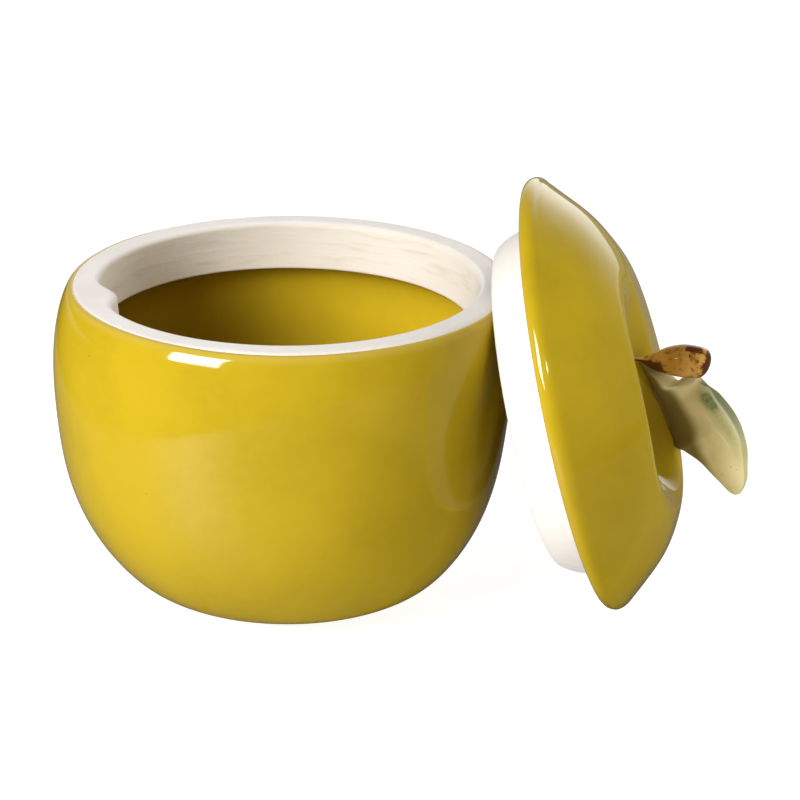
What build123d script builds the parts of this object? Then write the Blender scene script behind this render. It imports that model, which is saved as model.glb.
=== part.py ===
from build123d import *
from math import asin, cos, degrees, radians, sin
import os

os.makedirs("parts", exist_ok=True)

# Olive jar: a glazed stoneware pot shaped like a fruit, with its lid taken off and leaned on its side.
# The origin is the middle of the foot, on the table. +Z is up and +X points at the lid.
# Lengths are millimetres, angles are degrees.

# Jar, outside
jar_height = 84.0
belly_radius = 61.0
rim_inset = 4.5
shoulder_height = 21.3
shoulder_radius = 60.0
shoulder_turn = 19.5
flank_radius = 112.0
flank_end_share = 0.32
foot_inset = 33.0
foot_height = 1.0
foot_width = 4.0
foot_recess = 1.5
foot_round = 0.5

# Jar, inside
wall = 6.0
glaze = 0.4
floor_height = 6.2
floor_inset = 5.0
rim_width = 7.1
mouth_round = 1.5
gallery_slope = 0.9
gallery_depth = 12.8

# Lug that stands out of the gallery wall
lug_angle = 197.0
lug_radius = 10.0
lug_gap = 0.5
lug_round = 1.5
lug_root = 3.5

# Lid, as it lies on the jar: heights count up from the face that sits on the rim
lid_overhang = 1.3
lip_height = 3.9
lip_seat_inset = 2.2
lip_crease_inset = 0.9
lid_height = 22.9
crest_radius = 25.0
dimple_depth = 8.5
dimple_pull_share = 0.5
lid_wall = 6.0
lid_hollow_rise = 4.0
collar_play = 4.2
collar_clear = 1.1
collar_wall = 4.6
collar_round = 1.0

# Stem, in the middle of the lid
stem_length = 24.6
stem_radius = 4.2
stem_neck = 1.3
stem_neck_share = 0.36
stem_swell_share = 0.70
stem_full_share = 0.84
stem_foot_rise = 12.6
stem_foot_side = 6.2
stem_lean = 13.0

# Leaf, beside the stem
leaf_length = 43.8
leaf_outer_bulge = 12.2
leaf_inner_bulge = 6.6
leaf_bulge_share = 0.47
leaf_foot_rise = 19.6
leaf_foot_side = 4.2
leaf_droop = 67.0
leaf_roll = 18.0
leaf_thickness = 3.4
leaf_arch = 17.0
leaf_ridge = 2.6
leaf_tip_round = 2.4
leaf_edge_round = 1.1

# Where the lid leans
lid_lean = 14.6
lid_turn = -6.2
lid_side = -2.9
lean_gap = 0.3
lean_steps = 8

# Each width follows the one that it fits, from the belly in to the collar and out to the lid
rim_radius = belly_radius - rim_inset
mouth_radius = rim_radius - rim_width
gallery_radius = mouth_radius - gallery_slope
foot_radius = belly_radius - foot_inset
floor_radius = foot_radius - floor_inset
lid_radius = rim_radius + lid_overhang
collar_radius = gallery_radius - collar_play
collar_depth = gallery_depth - collar_clear

# The jar's lines, as half sections: distance from the axis, then height
belly_height = jar_height - shoulder_height
flank_end = foot_height + flank_end_share * (belly_height - foot_height)
flank_turn = degrees(asin((belly_height - flank_end) / flank_radius))
flank_centre = (belly_radius - flank_radius, belly_height)
shoulder_centre = (belly_radius - shoulder_radius, belly_height)
gallery_bottom = jar_height - gallery_depth


def jar_flank(depth, foot_point):
    """The side below the belly, the given depth under the outer surface, down to a point near the foot."""
    side = CenterArc(flank_centre, flank_radius - depth, -flank_turn, flank_turn)
    upward = side % 0
    under = TangentArc(side @ 0, foot_point, tangent=(-upward.X, -upward.Y))
    return side, under


def jar_skin(depth):
    """The outer line from foot to rim, the given depth under the outer surface."""
    side, under = jar_flank(depth, (foot_radius, foot_height + depth))
    shoulder = CenterArc(shoulder_centre, shoulder_radius - depth, 0, shoulder_turn)
    edge = TangentArc(shoulder @ 1, (rim_radius - depth, jar_height), tangent=shoulder % 1)
    return under @ 1, edge @ 1


def jar_inside(coat):
    """The inner line from floor to gallery, with a coat of the given thickness on the clay."""
    depth = wall - glaze + coat
    side, under = jar_flank(depth, (floor_radius, floor_height - glaze + coat))
    cove = TangentArc(side @ 1, (gallery_radius, gallery_bottom - coat), tangent=(0, 1))
    return under @ 1, cove @ 1


# The lug is a swelling of the gallery wall, flush with the rim, that the lid's collar just clears
with BuildPart() as lug:
    with BuildSketch(Plane.XY.offset(gallery_bottom)):
        with PolarLocations(collar_radius + lug_gap + lug_radius, 1, start_angle=lug_angle):
            Circle(lug_radius)
        Circle(gallery_radius + lug_root, mode=Mode.INTERSECT)
    extrude(amount=gallery_depth)
    lug_tip = Vector(collar_radius + lug_gap, 0, jar_height).rotate(Axis.Z, lug_angle)
    fillet(lug.edges().sort_by_distance(lug_tip)[0], radius=lug_round)

# The clay pot, in one piece with its lug, its foot ring, its bare rim and its gallery
with BuildPart() as jar_body:
    with BuildSketch(Plane.XZ) as jar_clay_section:
        with BuildLine():
            outer_foot, outer_rim = jar_skin(glaze)
            inner_floor, gallery_edge = jar_inside(0)
            Polyline(
                outer_foot,
                (foot_radius, 0),
                (foot_radius - foot_width, 0),
                (foot_radius - foot_width, foot_recess),
                (0, foot_recess),
                (0, floor_height - glaze),
                inner_floor,
            )
            Polyline(gallery_edge, (mouth_radius, jar_height), outer_rim)
        make_face()
        corners = jar_clay_section.vertices()
        fillet(corners.sort_by_distance((mouth_radius, jar_height))[0], radius=mouth_round)
        foot_corners = [(foot_radius, 0), (foot_radius - foot_width, 0)]
        for place in foot_corners:
            fillet(jar_clay_section.vertices().sort_by_distance(place)[0], radius=foot_round)
    revolve(axis=Axis.Z)
    add(lug.part)

with BuildPart() as jar_glaze_outside:
    with BuildSketch(Plane.XZ):
        with BuildLine():
            coat_foot, coat_rim = jar_skin(0)
            clay_foot, clay_rim = jar_skin(glaze)
            Line(coat_foot, clay_foot)
            Line(coat_rim, clay_rim)
        make_face()
    revolve(axis=Axis.Z)

with BuildPart() as jar_glaze_inside:
    with BuildSketch(Plane.XZ):
        with BuildLine():
            coat_floor, coat_edge = jar_inside(glaze)
            clay_floor, clay_edge = jar_inside(0)
            Line(coat_edge, clay_edge)
            Polyline(coat_floor, (0, floor_height), (0, floor_height - glaze), clay_floor)
        make_face()
    revolve(axis=Axis.Z)

# The lid's lines, as half sections
lid_floor = lid_height - dimple_depth
collar_bore = collar_radius - collar_wall


def lid_dimple(depth):
    """The hollow round the stem, the given depth under the outer surface."""
    crest = (crest_radius, lid_height - depth)
    crest_pull = (crest_radius * dimple_pull_share, lid_height - depth)
    floor_pull = (crest_radius * dimple_pull_share, lid_floor - depth)
    return Bezier(crest, crest_pull, floor_pull, (0, lid_floor - depth))


def lid_skin(depth):
    """The outer line from the seat over the lip and the dome to the middle, the given depth down."""
    seat = (lid_radius - lip_seat_inset, depth)
    crease = (lid_radius - lip_crease_inset - depth, lip_height)
    lip = ThreePointArc(seat, (lid_radius - depth, lip_height / 2), crease)
    TangentArc((crest_radius, lid_height - depth), crease, tangent=(1, 0))
    lid_dimple(depth)
    return lip


def lid_inside(coat):
    """The hollow's line from the collar's bore to the middle, with a coat on the clay."""
    depth = lid_wall - glaze + coat
    bore = collar_bore + glaze - coat
    TangentArc((crest_radius, lid_height - depth), (bore, lid_hollow_rise), tangent=(1, 0))
    lid_dimple(depth)
    return (bore, lid_hollow_rise)


# Where the lid leans: its lip stands on the table and its collar touches the jar's rim
across = Vector(sin(radians(lid_turn)), -cos(radians(lid_turn)), 0)
level = Vector(cos(radians(lid_turn)), sin(radians(lid_turn)), 0)
lid_up = level * cos(radians(lid_lean)) + Vector(0, 0, sin(radians(lid_lean)))
lid_top = Vector(0, 0, cos(radians(lid_lean))) - level * sin(radians(lid_lean))

with BuildLine():
    lip_line = lid_skin(0)
lip_centre = lip_line.arc_center
lip_reach = lip_centre.X * cos(radians(lid_lean)) - lip_centre.Y * sin(radians(lid_lean))
lid_rise = lip_reach + lip_line.radius

with BuildPart() as leaning_collar:
    with BuildSketch(Plane(origin=(0, 0, 0), x_dir=lid_top, z_dir=-lid_up)):
        Circle(collar_radius)
        Circle(collar_bore, mode=Mode.SUBTRACT)
    extrude(amount=collar_depth)

lid_reach = belly_radius + lid_radius
for step in range(lean_steps):
    trial = leaning_collar.part.moved(Location((lid_reach, lid_side, lid_rise)))
    gap = min(trial.distance_to(jar_body.part), trial.distance_to(jar_glaze_outside.part))
    lid_reach -= gap - lean_gap
print("lid stands at", round(lid_reach, 2), lid_side, round(lid_rise, 2), "gap", round(gap, 3))

lid_place = Vector(lid_reach, lid_side, lid_rise)
lid_section = Plane(origin=lid_place, x_dir=lid_top, z_dir=-across)
lid_axis = Axis(lid_place, lid_up)

# The clay lid, in one piece with the bare collar that drops into the jar's gallery
with BuildPart() as lid_body:
    with BuildSketch(lid_section) as lid_clay_section:
        with BuildLine():
            lid_lip = lid_skin(glaze)
            bore_top = lid_inside(0)
            Polyline(
                lid_lip @ 0,
                (lid_radius - lip_seat_inset, 0),
                (collar_radius, 0),
                (collar_radius, -collar_depth),
                (collar_bore + glaze, -collar_depth),
                bore_top,
            )
            Line((0, lid_floor - glaze), (0, lid_floor - lid_wall + glaze))
        make_face()
        for place in [(collar_radius, -collar_depth), (collar_bore + glaze, -collar_depth)]:
            fillet(lid_clay_section.vertices().sort_by_distance(place)[0], radius=collar_round)
    revolve(axis=lid_axis)

with BuildPart() as lid_glaze_outside:
    with BuildSketch(lid_section):
        with BuildLine():
            coat_lip = lid_skin(0)
            clay_lip = lid_skin(glaze)
            Line(coat_lip @ 0, clay_lip @ 0)
            Line((0, lid_floor), (0, lid_floor - glaze))
        make_face()
    revolve(axis=lid_axis)

with BuildPart() as lid_glaze_inside:
    with BuildSketch(lid_section):
        with BuildLine():
            coat_bore = lid_inside(glaze)
            clay_bore = lid_inside(0)
            bore_end = collar_round - collar_depth
            Polyline(coat_bore, (coat_bore[0], bore_end), (clay_bore[0], bore_end), clay_bore)
            Line((0, lid_floor - lid_wall), (0, lid_floor - lid_wall + glaze))
        make_face()
    revolve(axis=lid_axis)

# The stem: a thin neck that swells to a blunt end, set in the dimple
stem_foot = lid_place + lid_up * stem_foot_rise + lid_top * stem_foot_side
stem_along = lid_up * cos(radians(stem_lean)) - lid_top * sin(radians(stem_lean))

with BuildPart() as stem:
    with BuildSketch(Plane(origin=stem_foot, x_dir=stem_along.cross(across), z_dir=across)):
        with BuildLine():
            flare = Spline(
                (stem_neck, stem_neck_share * stem_length),
                (stem_radius, stem_swell_share * stem_length),
                (stem_radius, stem_full_share * stem_length),
                (0, stem_length),
                tangents=[(0, 1), (-1, 0)],
            )
            Polyline(flare @ 0, (stem_neck, 0), (0, 0), flare @ 1)
        make_face()
    revolve(axis=Axis(stem_foot, stem_along))
    add(lid_glaze_outside.part, mode=Mode.SUBTRACT)
    add(lid_body.part, mode=Mode.SUBTRACT)

# The leaf: an arched blade that springs from the foot of the stem and rests on the dimple's edge
leaf_foot = lid_place + lid_up * leaf_foot_rise + lid_top * leaf_foot_side
leaf_along = lid_up * cos(radians(leaf_droop)) - lid_top * sin(radians(leaf_droop))
leaf_face = across * cos(radians(leaf_roll)) + across.cross(leaf_along) * sin(radians(leaf_roll))
leaf_plane = Plane(origin=leaf_foot, x_dir=leaf_along, z_dir=leaf_face)
leaf_end_plane = Plane(origin=leaf_foot, x_dir=leaf_plane.y_dir, z_dir=leaf_along)

with BuildPart() as leaf:
    with BuildSketch(leaf_plane) as leaf_outline:
        with BuildLine():
            bulge = leaf_bulge_share * leaf_length
            ThreePointArc((0, 0), (bulge, leaf_outer_bulge), (leaf_length, 0))
            ThreePointArc((0, 0), (bulge, -leaf_inner_bulge), (leaf_length, 0))
        make_face()
        fillet(leaf_outline.vertices(), radius=leaf_tip_round)
    extrude(amount=leaf_arch, both=True)
    with BuildSketch(leaf_end_plane):
        with Locations((leaf_ridge, -leaf_arch)):
            Circle(leaf_arch + leaf_thickness / 2)
            Circle(leaf_arch - leaf_thickness / 2, mode=Mode.SUBTRACT)
    extrude(amount=leaf_length, mode=Mode.INTERSECT)
    fillet(leaf.edges(), radius=leaf_edge_round)
    for carrier in (stem, lid_glaze_outside, lid_body):
        add(carrier.part, mode=Mode.SUBTRACT)

pieces = {
    "jar_body": jar_body,
    "jar_glaze_outside": jar_glaze_outside,
    "jar_glaze_inside": jar_glaze_inside,
    "lid_body": lid_body,
    "lid_glaze_outside": lid_glaze_outside,
    "lid_glaze_inside": lid_glaze_inside,
    "stem": stem,
    "leaf": leaf,
}
for name, piece in pieces.items():
    piece.part.label = name
    export_step(piece.part, f"parts/{name}.step")
    print(name, round(piece.part.volume, 1), len(piece.part.solids()), piece.part.bounding_box())
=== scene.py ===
# %% [markdown]
# # An olive jar in glazed stoneware
# The jar is a small pot with the outline of a fruit. Its lid has been taken off and leans on its side.
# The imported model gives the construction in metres. This lesson dresses it: each piece is worked out again
# as a fine surface, a little uneven as a hand-finished pot is, and gets its glaze or its bare clay.

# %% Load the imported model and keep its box
import math

import bpy
import numpy as np
from mathutils import Matrix, Vector


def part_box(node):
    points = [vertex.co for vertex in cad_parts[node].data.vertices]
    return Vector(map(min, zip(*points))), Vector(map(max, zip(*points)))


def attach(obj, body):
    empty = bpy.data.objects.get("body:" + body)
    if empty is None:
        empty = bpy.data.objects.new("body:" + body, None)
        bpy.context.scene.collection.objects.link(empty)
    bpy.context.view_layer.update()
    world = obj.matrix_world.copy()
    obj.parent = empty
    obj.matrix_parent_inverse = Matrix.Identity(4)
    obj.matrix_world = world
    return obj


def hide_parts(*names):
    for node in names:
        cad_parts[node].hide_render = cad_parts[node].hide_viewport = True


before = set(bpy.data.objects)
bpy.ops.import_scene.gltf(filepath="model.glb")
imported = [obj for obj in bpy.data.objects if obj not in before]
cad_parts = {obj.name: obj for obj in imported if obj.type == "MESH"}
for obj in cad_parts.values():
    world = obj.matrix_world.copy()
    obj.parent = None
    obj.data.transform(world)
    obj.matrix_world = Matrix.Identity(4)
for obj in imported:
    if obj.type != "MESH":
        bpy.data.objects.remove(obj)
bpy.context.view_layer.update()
MM = 0.001
print("pieces to dress:", sorted(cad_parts))

# %% [markdown]
# ## Where the camera stands
# The photograph was taken with a long lens from 0.8 m, looking down by about 21 degrees, and the camera was
# rolled by less than a degree. The camera comes first, because every later choice is judged through it.
# Its axes are written out as three directions, which is easier to check than three turns.

# %% Camera
image_side = 800
focal_pixels = 3041
sensor_mm = 36
camera_distance = 800 * MM
camera_elevation = math.radians(20.8)
camera_roll = math.radians(0.7)
look_at = Vector((29.1, 0, 51.8)) * MM

forward = Vector((0, math.cos(camera_elevation), -math.sin(camera_elevation)))
straight_up = Vector((0, math.sin(camera_elevation), math.cos(camera_elevation)))
straight_right = Vector((1, 0, 0))
camera_right = straight_right * math.cos(camera_roll) + straight_up * math.sin(camera_roll)
camera_up = straight_up * math.cos(camera_roll) - straight_right * math.sin(camera_roll)

camera = bpy.data.objects.new("camera", bpy.data.cameras.new("camera"))
camera.data.sensor_width = sensor_mm
camera.data.lens = focal_pixels / image_side * sensor_mm
turned = Matrix((camera_right, camera_up, -forward)).transposed().to_4x4()
camera.matrix_world = Matrix.Translation(look_at - forward * camera_distance) @ turned
bpy.context.scene.collection.objects.link(camera)
bpy.context.scene.camera = camera
print("lens in mm:", round(camera.data.lens, 1))

# %% [markdown]
# ## From numbers to a mesh
# Nearly every piece here is a skin swept round an axis: rings of points, one ring for each step along an
# outline. One helper turns such a grid into a mesh. The rings close on themselves, and the outline either
# ends in two poles or comes back to its start, so every piece is a closed shell with its faces outwards.

# %% Grid helper
turns = 320
around = np.linspace(0, 2 * np.pi, turns, endpoint=False)


def ring_mesh(name, grid, loop=False, masks=None):
    """A closed mesh from grid[ring, step, xyz] in millimetres.

    Face (i, j) joins ring i to ring i + 1 at steps j and j + 1. With loop the last ring joins the first;
    without it, the middle of the first and of the last ring is one point, and a fan closes each end.
    """
    rings, steps = grid.shape[:2]
    points = grid.reshape(-1, 3)
    i, j = np.meshgrid(np.arange(rings if loop else rings - 1), np.arange(steps), indexing="ij")
    i, j = i.ravel(), j.ravel()
    i_next, j_next = (i + 1) % rings, (j + 1) % steps
    corners = [i * steps + j, i * steps + j_next, i_next * steps + j_next, i_next * steps + j]
    faces = np.stack(corners, axis=1).tolist()
    if not loop:
        points = np.vstack([points, grid[0].mean(0), grid[-1].mean(0)])
        step, first_pole = np.arange(steps), rings * steps
        step_next, last = (step + 1) % steps, (rings - 1) * steps
        faces += np.stack([step_next, step, np.full(steps, first_pole)], axis=1).tolist()
        faces += np.stack([last + step, last + step_next, np.full(steps, first_pole + 1)], axis=1).tolist()
    mesh = bpy.data.meshes.new(name)
    mesh.from_pydata((points * MM).tolist(), [], faces)
    mesh.shade_smooth()
    for mask, values in (masks or {}).items():
        flat = values.reshape(-1)
        if not loop:
            flat = np.append(flat, [values[0].mean(), values[-1].mean()])
        mesh.attributes.new(mask, "FLOAT", "POINT").data.foreach_set("value", flat.astype(np.float32))
    piece = bpy.data.objects.new(name, mesh)
    bpy.context.scene.collection.objects.link(piece)
    print(name, "faces:", len(faces))
    return piece


# %% Outline helpers
def spline(knots, values, places):
    """Natural cubic splines through rows of values at the knots, read off at the places."""
    knots, values = np.asarray(knots, float), np.asarray(values, float)
    gap = np.diff(knots)
    size = len(knots)
    system, right_side = np.eye(size), np.zeros_like(values)
    inner = np.arange(1, size - 1)
    system[inner, inner - 1] = gap[:-1]
    system[inner, inner] = 2 * (gap[:-1] + gap[1:])
    system[inner, inner + 1] = gap[1:]
    right_side[1:-1] = 6 * np.diff(np.diff(values, axis=0) / gap[:, None], axis=0)
    bend = np.linalg.solve(system, right_side)
    k = np.clip(np.searchsorted(knots, places, side="right") - 1, 0, size - 2)
    a, b, h = (places - knots[k])[:, None], (knots[k + 1] - places)[:, None], gap[k][:, None]
    curve = (bend[k] * b**3 + bend[k + 1] * a**3) / (6 * h)
    return curve + (values[k] / h - bend[k] * h / 6) * b + (values[k + 1] / h - bend[k + 1] * h / 6) * a


def lengths_along(line):
    """The length along a line from its first point to each of its points."""
    return np.append(0, np.cumsum(np.linalg.norm(np.diff(line, axis=0), axis=1)))


def even_line(points, count):
    """The same polyline as count points, evenly spaced along its length."""
    points = np.asarray(points, float)
    length = lengths_along(points)
    places = np.linspace(0, length[-1], count)
    return np.stack([np.interp(places, length, column) for column in points.T], axis=1)


def smooth_line(points, count, fineness=40):
    """A smooth line through the points, as count even places along it, however many parts a point has."""
    points = np.asarray(points, float)
    chord = lengths_along(points)
    places = np.linspace(0, chord[-1], fineness * count)
    return even_line(spline(chord, points, places), count)


def arc_line(centre, radius, start, end, count):
    """Points on a circle from the start angle to the end angle, in degrees."""
    angle = np.radians(np.linspace(start, end, count))
    return np.stack([centre[0] + radius * np.cos(angle), centre[1] + radius * np.sin(angle)], axis=1)


def outward(line):
    """Unit normals of a line: its direction (r, h) turned a quarter, to (h, -r)."""
    run = np.gradient(line, axis=0)
    run /= np.linalg.norm(run, axis=1)[:, None]
    return np.stack([run[:, 1], -run[:, 0]], axis=1)


def ease(value):
    """A smooth step from 0 to 1 as the value goes from 0 to 1."""
    value = np.clip(value, 0, 1)
    return value * value * (3 - 2 * value)


def ramp(value, start, full):
    """A smooth step from 0 where the value is start to 1 where it is full, which may be the smaller."""
    return ease((value - start) / (full - start))


def bell(value, middle, spread):
    """A bell curve: exp of minus the square of the distance from the middle over the spread."""
    return np.exp(-(((value - middle) / spread) ** 2))


def wobble(angle, seed, waves=7):
    """A slow closed wave round the pot, between about -1 and 1: a sum of sines with seeded phases."""
    phases = np.random.default_rng(seed).uniform(0, 2 * np.pi, waves)
    heights = 1 / np.arange(1, waves + 1)
    total = sum(h * np.sin((k + 1) * angle + p) for k, (h, p) in enumerate(zip(heights, phases)))
    return total / heights.sum() * 2


# %% [markdown]
# ## The shape of the pot
# The outline runs from the foot up the side, over a soft edge onto the flat rim, round the mouth's edge and
# down the gallery in which the lid sits, then out under the gallery's lip and down the inside to the floor.
# The photograph shows that the side leans a little to the left at mid height, so each ring is moved by a
# sine of its height. A lug stands out of the gallery wall, which is pushed in there by a bell-shaped curve.

# %% Pot outline, in millimetres
jar_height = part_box("jar_body")[1].z / MM
belly_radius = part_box("jar_glaze_outside")[1].x / MM
glaze = 0.4
foot_radius = 27.0
rim_edge_radius = 55.2
mouth_radius = 49.4
mouth_round = 1.6
gallery_depth = 12.8
gallery_radius = 48.5
gallery_bottom = jar_height - gallery_depth
floor_height = 5.8
lean_amount = 1.6
side_points = [
    (foot_radius, 1.0),
    (29.4, 1.8),
    (39.3, 5.3),
    (46.3, 11.9),
    (52.4, 21.8),
    (56.9, 35.3),
    (58.85, 48.7),
    (59.9, 62.1),
    (59.4, 73.9),
    (58.0, 80.3),
    (57.1, 82.5),
    (56.3, 83.6),
    (rim_edge_radius, jar_height),
]
inner_points = [
    (gallery_radius, gallery_bottom),
    (51.5, 69.6),
    (54.0, 65.0),
    (54.7, 58.0),
    (53.9, 46.0),
    (51.0, 32.0),
    (45.5, 20.0),
    (38.0, 11.5),
    (30.0, 7.4),
    (20.0, floor_height),
    (0.5, floor_height),
]

side_steps, mouth_steps, gallery_steps, inner_steps = 150, 12, 26, 90
side_line = smooth_line(side_points, side_steps)
mouth_centre = (mouth_radius + mouth_round, jar_height - mouth_round)
mouth_line = arc_line(mouth_centre, mouth_round, 90, 180, mouth_steps)
gallery_line = even_line([mouth_line[-1], (gallery_radius, gallery_bottom)], gallery_steps)[1:]
inner_line = smooth_line(inner_points, inner_steps)
belly_here = side_line[:, 0].max() + glaze
print("belly in the packed model:", round(belly_radius, 1), "and here:", round(belly_here, 1))

# %% Pot shaping
rim_lift = 0.85
rim_tilt = 0.3
lug_push = 4.4
lug_angle = 194.0
lug_slant = 6.0
lug_width = 8.5
lug_fade = 5.0
lug_reach = 5.0


def shape_pot(radius, height, angle):
    """Points of the pot from a radius, a height and an angle.

    The lug takes lug_push times a bell curve of the angle off the radius. That is full on the gallery wall,
    and fades below the gallery over lug_fade and outwards over the rim by lug_reach. The rim of the real pot
    is not quite level, so the top is lifted, a little more on the side of the lid.
    """
    down = np.clip((jar_height - height) / gallery_depth, 0, 1)
    lug = bell(angle, np.radians(lug_angle + lug_slant * down), np.radians(lug_width))
    lug = lug * ramp(height, gallery_bottom - lug_fade, gallery_bottom)
    lug = lug * ramp(radius, mouth_radius + lug_reach, mouth_radius)
    pushed = radius - lug_push * lug
    lean = -lean_amount * np.sin(np.pi * height / jar_height)
    lift = rim_lift * (1 + rim_tilt * np.cos(angle)) * ease(height / jar_height) ** 2
    return np.stack([pushed * np.cos(angle) + lean, pushed * np.sin(angle), height + lift], axis=-1)


def pot_grid(line):
    """The whole grid of rings for an outline that is the same all round."""
    radius = np.repeat(line[:, :1], turns, axis=1)
    height = np.repeat(line[:, 1:], turns, axis=1)
    return shape_pot(radius, height, around[None, :])


# %% [markdown]
# ## The clay pot
# The bare clay shows on the rim and the gallery. Under the glaze it is there too, so the piece is one closed
# solid: underside, foot ring, side, rim, gallery, inside. Small radii at the foot keep its edges soft.
# Two masks go with it for the material: the gallery's wall, and the margin of the rim beside the glaze.

# %% Clay pot
foot_width = 4.0
foot_inner = foot_radius - foot_width
foot_recess = 1.5
foot_round = 0.6
foot_line = np.vstack(
    [
        even_line([(0.5, foot_recess), (foot_inner - foot_round, foot_recess)], 10),
        arc_line((foot_inner - foot_round, foot_recess - foot_round), foot_round, 90, 0, 5)[1:],
        arc_line((foot_inner + foot_round, foot_round), foot_round, 180, 270, 5),
        arc_line((foot_radius - foot_round, foot_round), foot_round, 270, 360, 6),
    ]
)
rim_steps = 14
rim_line = even_line([side_line[-1], mouth_line[0]], rim_steps)[1:-1]
clay_line = np.vstack([foot_line, side_line, rim_line, mouth_line, gallery_line, inner_line[1:]])

# %% Masks for the clay pot
wall_fade, floor_fade = 0.8, 2.0
margin_inner, margin_outer = rim_edge_radius - 1.2, rim_edge_radius + 0.4
margin_low, margin_high = jar_height - 2.0, jar_height - 1.0
clay_radius, clay_height = clay_line.T
on_wall = ramp(clay_radius, mouth_radius + wall_fade, mouth_radius)
on_wall = on_wall * ramp(clay_height, gallery_bottom - floor_fade, gallery_bottom)
on_margin = ramp(clay_radius, margin_inner, margin_outer) * ramp(clay_height, margin_low, margin_high)
clay_masks = {"gallery": on_wall, "margin": on_margin}
clay_masks = {mask: np.repeat(values[:, None], turns, axis=1) for mask, values in clay_masks.items()}
pot = ring_mesh("clay_pot", pot_grid(clay_line), masks=clay_masks)
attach(pot, "jar")
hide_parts("jar_body")

# %% [markdown]
# ## The glaze on the pot
# Glaze is a glass about 0.4 mm thick. A potter wipes it off the rim, so its edge is thin, not quite even,
# and paler than the rest. Each coat is a thin closed shell: its outer skin lies one thickness off the clay,
# and its inner skin lies on the clay. The distance to the wiped edge is kept as a mask for the material.
# A second mask is painted shading: a painted shade, brown, where it is above 0, and a painted light, lighter,
# where it is below. It gives a faint painted shade on the side towards the lid, and an inside that goes from
# painted shade on its left to painted light on its right.

# %% Coat helper
edge_wave = 0.22
edge_taper = 2.5
edge_share = 0.1
thin_band = 3.0


def coat_grid(line, start, end, thickness, taper_start, taper_end):
    """A shell on an outline, between two lengths along it that may change round the pot.

    Outer skin = line + thickness * normal, thinned to edge_share over edge_taper at the ends that taper.
    """
    length = lengths_along(line)
    normal = outward(line)
    share = np.linspace(0, 1, len(line))[:, None]
    place = start + share * (end - start)
    ends = np.full_like(place, np.inf)
    if taper_start:
        ends = np.minimum(ends, place - start)
    if taper_end:
        ends = np.minimum(ends, end - place)
    thick = thickness * (edge_share + (1 - edge_share) * np.sqrt(ease(ends / edge_taper)))
    pick = [np.interp(place, length, column) for column in (*line.T, *normal.T)]
    outer = (pick[0] + thick * pick[2], pick[1] + thick * pick[3])
    thin = 1 - ease(ends / thin_band)
    radius = np.vstack([outer[0], pick[0][::-1]])
    height = np.vstack([outer[1], pick[1][::-1]])
    return radius, height, np.vstack([thin, thin[::-1]])


# %% Coat on the outside
coat_start = 0.3
wiped_band = 1.1
glaze_rise = 0.5
side_shade_share = 0.5
side_shade_turn, side_shade_spread = 0.25, 0.25
side_shade_height, side_shade_reach = 54.0, 25.0
glaze_stop = lengths_along(side_line)[-1] - wiped_band
stop = glaze_stop + (edge_wave * wobble(around, 3) - glaze_rise * np.cos(around))[None, :]
radius, height, thin = coat_grid(side_line, coat_start, stop, glaze, True, True)
# A painted shade on the side of the jar that faces the lid, strongest a little above mid height.
toward_lid = bell(np.sin((around + side_shade_turn) / 2), 0, side_shade_spread)[None, :]
painted_shading = side_shade_share * toward_lid * bell(height, side_shade_height, side_shade_reach)
coat_outside = ring_mesh(
    "pot_glaze_outside",
    shape_pot(radius, height, around[None, :]),
    loop=True,
    masks={"thin": thin, "painted_shading": painted_shading},
)
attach(coat_outside, "jar")
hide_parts("jar_glaze_outside")

# %% Coat on the inside
middle_gap = 0.01
inside_shading_middle, inside_shading_swing, inside_shading_turn = 0.25, 0.75, 0.2
shade_under_lip = 0.9
start = coat_start + edge_wave * wobble(around, 5)[None, :]
inner_stop = lengths_along(inner_line)[-1] - middle_gap
radius, height, thin = coat_grid(inner_line, start, inner_stop, glaze, True, False)
# Painted shade on the left of the inside and painted light on its right, and painted shade at the coat's top
# edge, under the gallery's lip.
painted_shading = inside_shading_middle - inside_shading_swing * np.cos(around - inside_shading_turn)[None, :]
coat_inside = ring_mesh(
    "pot_glaze_inside",
    shape_pot(radius, height, around[None, :]),
    loop=True,
    masks={"painted_shading": painted_shading + (shade_under_lip - painted_shading) * thin},
)
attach(coat_inside, "jar")
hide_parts("jar_glaze_inside")

# %% [markdown]
# ## The lid
# The lid is turned like the pot, round its own axis. Here it leans: its lip stands on the table and its
# collar touches the jar's rim. Three directions carry it: up its axis, up its slope, and across.
# Its dome is not quite even. The lower half is fuller than the upper, so a share of the height is taken
# off above the middle and added below it, and none at the lip. The dimple that holds the stem is a wide
# oval, off the middle, so it is taken off the turned dome by a formula and not by the outline.

# %% Lid directions
lid_lean = math.radians(14.6)
lid_turn = math.radians(-6.2)
lid_place = np.array([73.99, -2.9, 55.47])
level = np.array([math.cos(lid_turn), math.sin(lid_turn), 0])
upright = np.array([0, 0, 1])
lid_up = level * math.cos(lid_lean) + upright * math.sin(lid_lean)
lid_top = upright * math.cos(lid_lean) - level * math.sin(lid_lean)
lid_across = np.array([math.sin(lid_turn), -math.cos(lid_turn), 0])


def from_lid(points):
    """World places for points given as (out along the axis, up the slope, across towards the front)."""
    points = np.asarray(points, float)
    out, up_slope, toward = (points[..., k, None] for k in range(3))
    return lid_place + out * lid_up + up_slope * lid_top + toward * lid_across


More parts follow.
